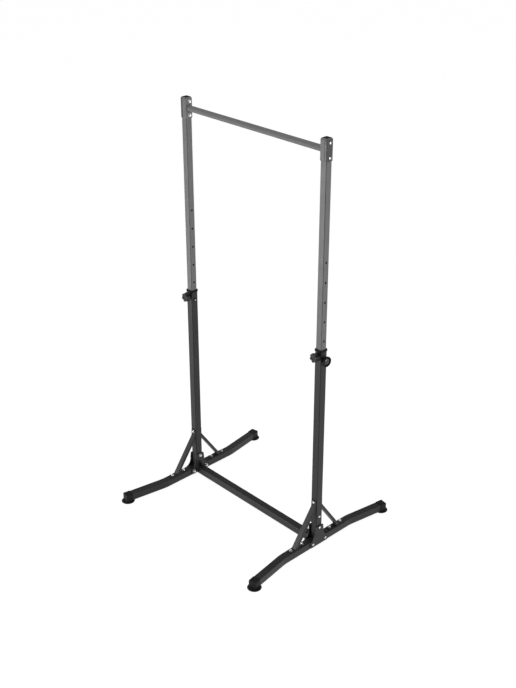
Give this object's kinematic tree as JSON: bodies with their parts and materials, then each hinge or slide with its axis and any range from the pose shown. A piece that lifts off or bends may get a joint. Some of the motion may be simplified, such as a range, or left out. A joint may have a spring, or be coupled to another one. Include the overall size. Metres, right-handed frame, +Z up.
{
  "type": "freestanding pull-up bar",
  "caption": "Freestanding pull-up bar: telescoping square posts on braced, bent legs joined by a floor beam, with locking pins and tightening knobs to set the bar's height.",
  "frame": {"origin": "on the floor, midway between the two posts", "axes": "+X along the bar towards the right post, -Y to the side with the tightening knobs, +Z up"},
  "size_m": [1.0836, 1.0148, 2.165],
  "materials": {
    "black_powder_coat": "satin powder coat",
    "grey_powder_coat": "satin powder coat",
    "dark_grey_powder_coat": "satin powder coat",
    "black_plastic": "moulded, low sheen",
    "black_rubber": "matt",
    "zinc_plate": "bright zinc plating"
  },
  "bodies": {
    "base": {"base_bolt_leg_back_left": "zinc_plate", "base_bolt_leg_back_right": "zinc_plate", "base_bolt_leg_front_left": "zinc_plate", "base_bolt_leg_front_right": "zinc_plate", "base_bolt_post_left": "zinc_plate", "base_bolt_post_right": "zinc_plate", "brace_bolt_left": "zinc_plate", "brace_bolt_right": "zinc_plate", "brace_foot_bolt_left_back_far": "zinc_plate", "brace_foot_bolt_left_back_near": "zinc_plate", "brace_foot_bolt_left_front_far": "zinc_plate", "brace_foot_bolt_left_front_near": "zinc_plate", "brace_foot_bolt_right_back_far": "zinc_plate", "brace_foot_bolt_right_back_near": "zinc_plate", "brace_foot_bolt_right_front_far": "zinc_plate", "brace_foot_bolt_right_front_near": "zinc_plate", "brace_left_back": "black_powder_coat", "brace_left_front": "black_powder_coat", "brace_right_back": "black_powder_coat", "brace_right_front": "black_powder_coat", "collar_left": "black_plastic", "collar_right": "black_plastic", "cross_beam": "black_powder_coat", "foot_pad_left_back": "black_rubber", "foot_pad_left_front": "black_rubber", "foot_pad_right_back": "black_rubber", "foot_pad_right_front": "black_rubber", "knob_nut_left": "black_powder_coat", "knob_nut_right": "black_powder_coat", "leg_cap_left_back": "black_plastic", "leg_cap_left_front": "black_plastic", "leg_cap_right_back": "black_plastic", "leg_cap_right_front": "black_plastic", "leg_left": "black_powder_coat", "leg_right": "black_powder_coat", "lower_post_left": "black_powder_coat", "lower_post_right": "black_powder_coat", "outer_plate_left": "black_powder_coat", "outer_plate_right": "black_powder_coat", "stop_screw_left": "zinc_plate", "stop_screw_right": "zinc_plate"},
    "upper_frame": {"bar_bolt_lower_left": "zinc_plate", "bar_bolt_lower_right": "zinc_plate", "bar_bolt_upper_left": "zinc_plate", "bar_bolt_upper_right": "zinc_plate", "outer_bracket_left": "dark_grey_powder_coat", "outer_bracket_right": "dark_grey_powder_coat", "pull_up_bar": "grey_powder_coat", "top_plug_left": "black_plastic", "top_plug_right": "black_plastic", "upper_post_left": "grey_powder_coat", "upper_post_right": "grey_powder_coat"},
    "locking_pin_left": {"locking_pin_left": "black_plastic"},
    "locking_pin_right": {"locking_pin_right": "black_plastic"},
    "tightening_knob_left": {"tightening_knob_left": "black_plastic"},
    "tightening_knob_right": {"tightening_knob_right": "black_plastic"}
  },
  "joints": [
    {"name": "height_adjust", "type": "slide", "parent": "base", "child": "upper_frame", "axis": [0, 0, 1], "range_m": [-0.5, 0.1]},
    {"name": "locking_pin_pull_left", "type": "slide", "parent": "base", "child": "locking_pin_left", "axis": [-1, 0, 0], "range_m": [0, 0.06]},
    {"name": "locking_pin_pull_right", "type": "slide", "parent": "base", "child": "locking_pin_right", "axis": [1, 0, 0], "range_m": [0, 0.06]},
    {"name": "tightening_knob_turn_left", "type": "hinge", "parent": "base", "child": "tightening_knob_left", "pos_m": [-0.469, -0.04, 1.1065], "axis": [0, -1, 0], "continuous": true},
    {"name": "tightening_knob_turn_right", "type": "hinge", "parent": "base", "child": "tightening_knob_right", "pos_m": [0.469, -0.04, 1.1065], "axis": [0, -1, 0], "continuous": true}
  ]
}
